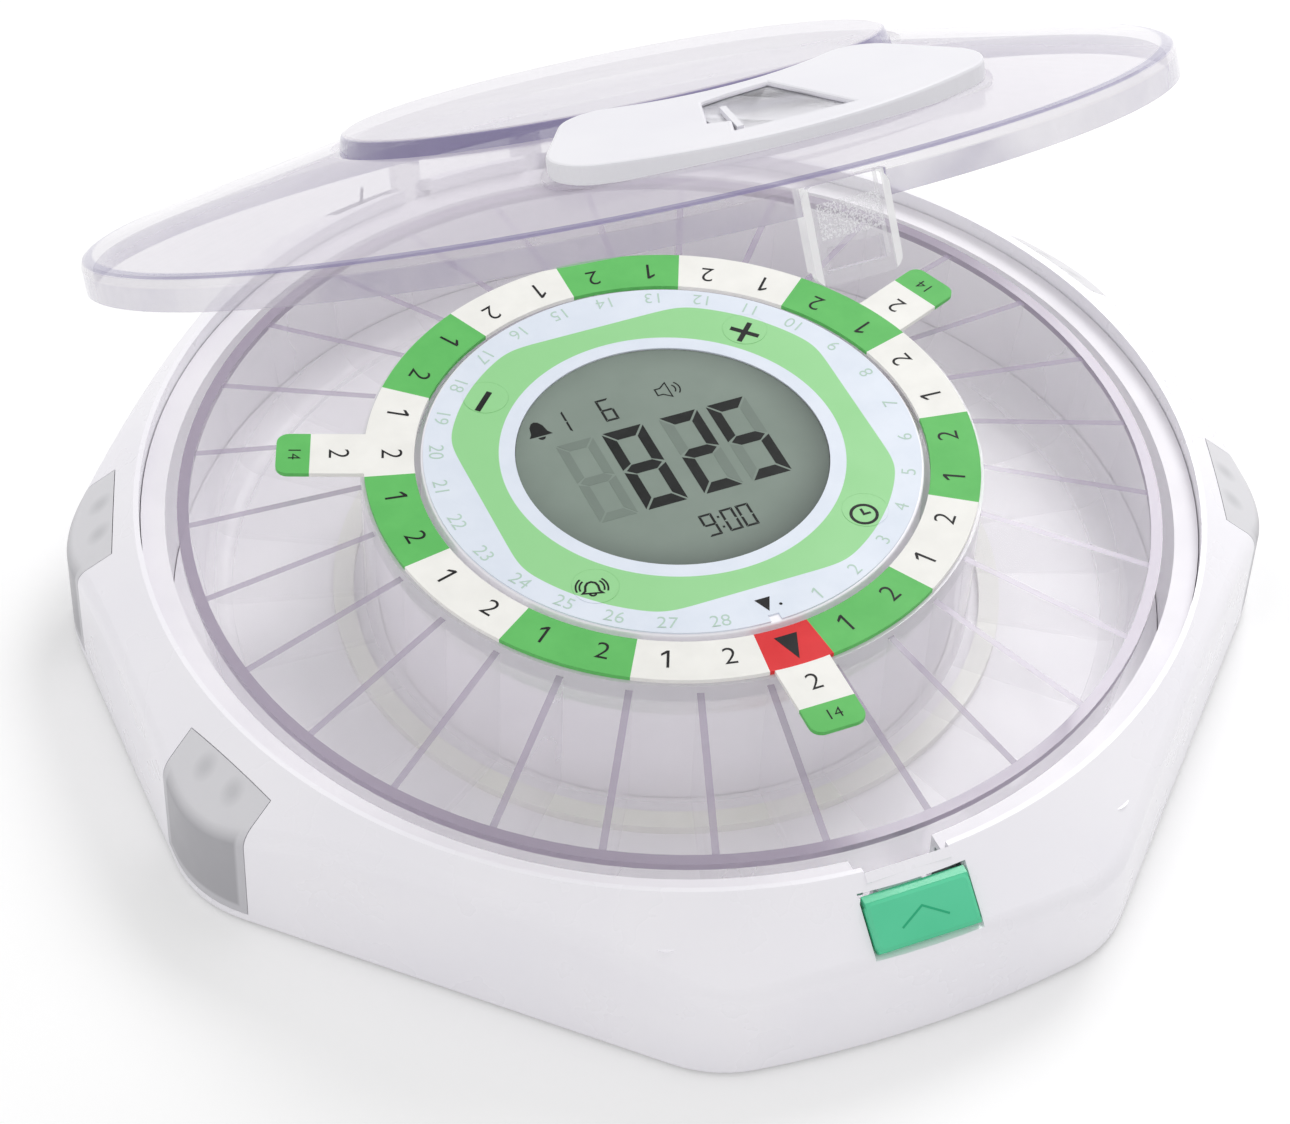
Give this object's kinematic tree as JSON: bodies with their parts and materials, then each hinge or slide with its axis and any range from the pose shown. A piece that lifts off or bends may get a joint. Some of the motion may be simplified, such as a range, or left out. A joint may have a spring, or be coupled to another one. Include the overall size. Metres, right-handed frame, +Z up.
{
  "type": "automatic pill dispenser",
  "caption": "Eight-sided automatic pill dispenser: clear tray of wedge cells turning round a control hub, under a hinged clear lid with a dispensing gate.",
  "frame": {"origin": "on the table under the tray's axis, which is the middle of the base", "axes": "+Z up, front with the push button towards -Y, lid hinge along X at the back"},
  "size_m": [0.224, 0.229, 0.1561],
  "materials": {
    "white_shell": "glossy white plastic",
    "white_plate": "satin white plastic",
    "green_button": "emerald green plastic",
    "clear_tray": "clear plastic",
    "clear_lid": "clear plastic",
    "printed_ring": "printed green and cream",
    "printed_overlay": "printed film",
    "display_window": "clear window",
    "display": "grey-green liquid crystal",
    "frosted_lens": "frosted plastic",
    "board": "green circuit board",
    "cell": "wrapped steel can",
    "steel": "plated steel",
    "spring_steel": "spring wire",
    "rubber": "grey rubber",
    "black_plastic": "black plastic",
    "slide_plastic": "acetal"
  },
  "bodies": {
    "base": {"outer_housing": "white_shell", "corner_lens_front_left": "frosted_lens", "corner_lens_front_right": "frosted_lens", "corner_lens_back_left": "frosted_lens", "corner_lens_back_right": "frosted_lens", "led_board_front_left": "board", "led_board_front_right": "board", "led_board_back_left": "board", "led_board_back_right": "board", "bottom_cover": "white_shell", "battery_cells": "cell", "battery_contacts": "steel", "rubber_feet": "rubber", "case_screws": "steel", "sounder": "black_plastic", "well_floor": "white_shell", "well_wall": "white_shell", "hub_column": "white_shell", "slide_ring": "slide_plastic", "main_board": "board", "control_housing": "white_shell", "display_module": "display", "display_window": "display_window", "keypad_overlay": "printed_overlay", "gear_motor": "steel", "hinge_pins": "steel", "hinge_spring_left": "spring_steel", "hinge_spring_right": "spring_steel"},
    "battery_door": {"battery_door": "white_shell"},
    "latch": {"press_button": "green_button", "latch_slider": "white_shell"},
    "plus_key": {"plus_key": "printed_overlay"},
    "minus_key": {"minus_key": "printed_overlay"},
    "alarm_key": {"alarm_key": "printed_overlay"},
    "clock_key": {"clock_key": "printed_overlay"},
    "tray": {"tray_floor": "clear_tray", "tray_inner_wall": "clear_tray", "tray_outer_wall": "clear_tray", "tray_dividers": "clear_tray", "tray_gear": "clear_tray", "dosage_ring": "printed_ring"},
    "pinion": {"drive_pinion": "slide_plastic", "drive_shaft": "steel"},
    "lid": {"lid_cover": "clear_lid", "latch_tab": "clear_lid", "dispensing_plate": "white_plate"},
    "gate": {"dispensing_gate": "white_plate"}
  },
  "joints": [
    {"name": "lid_hinge", "type": "hinge", "parent": "base", "child": "lid", "pos_m": [0, 0.1058, 0.022], "axis": [-1, 0, 0], "range_deg": [-34, 56], "stiffness_Nm_per_rad": 0.08, "springref_deg": 34.38},
    {"name": "gate_slide", "type": "slide", "parent": "lid", "child": "gate", "axis": [1, 0, 0], "range_m": [0, 0.013]},
    {"name": "tray_spin", "type": "hinge", "parent": "base", "child": "tray", "pos_m": [0, 0, 0.02], "axis": [0, 0, 1], "continuous": true},
    {"name": "pinion_spin", "type": "hinge", "parent": "base", "child": "pinion", "pos_m": [0.045, 0, 0.03], "axis": [0, 0, 1], "continuous": true},
    {"name": "button_press", "type": "slide", "parent": "base", "child": "latch", "axis": [0, 1, 0], "range_m": [0, 0.0016], "stiffness_N_per_m": 400},
    {"name": "battery_door_off", "type": "slide", "parent": "base", "child": "battery_door", "axis": [0, 0, -1], "range_m": [0, 0.025]},
    {"name": "plus_press", "type": "slide", "parent": "base", "child": "plus_key", "axis": [0, 0, -1], "range_m": [0, 0.0004], "stiffness_N_per_m": 500},
    {"name": "minus_press", "type": "slide", "parent": "base", "child": "minus_key", "axis": [0, 0, -1], "range_m": [0, 0.0004], "stiffness_N_per_m": 500},
    {"name": "alarm_press", "type": "slide", "parent": "base", "child": "alarm_key", "axis": [0, 0, -1], "range_m": [0, 0.0004], "stiffness_N_per_m": 500},
    {"name": "clock_press", "type": "slide", "parent": "base", "child": "clock_key", "axis": [0, 0, -1], "range_m": [0, 0.0004], "stiffness_N_per_m": 500}
  ],
  "couplings": [
    {"joint": "pinion_spin", "follows": "tray_spin", "ratio": 7.25}
  ]
}
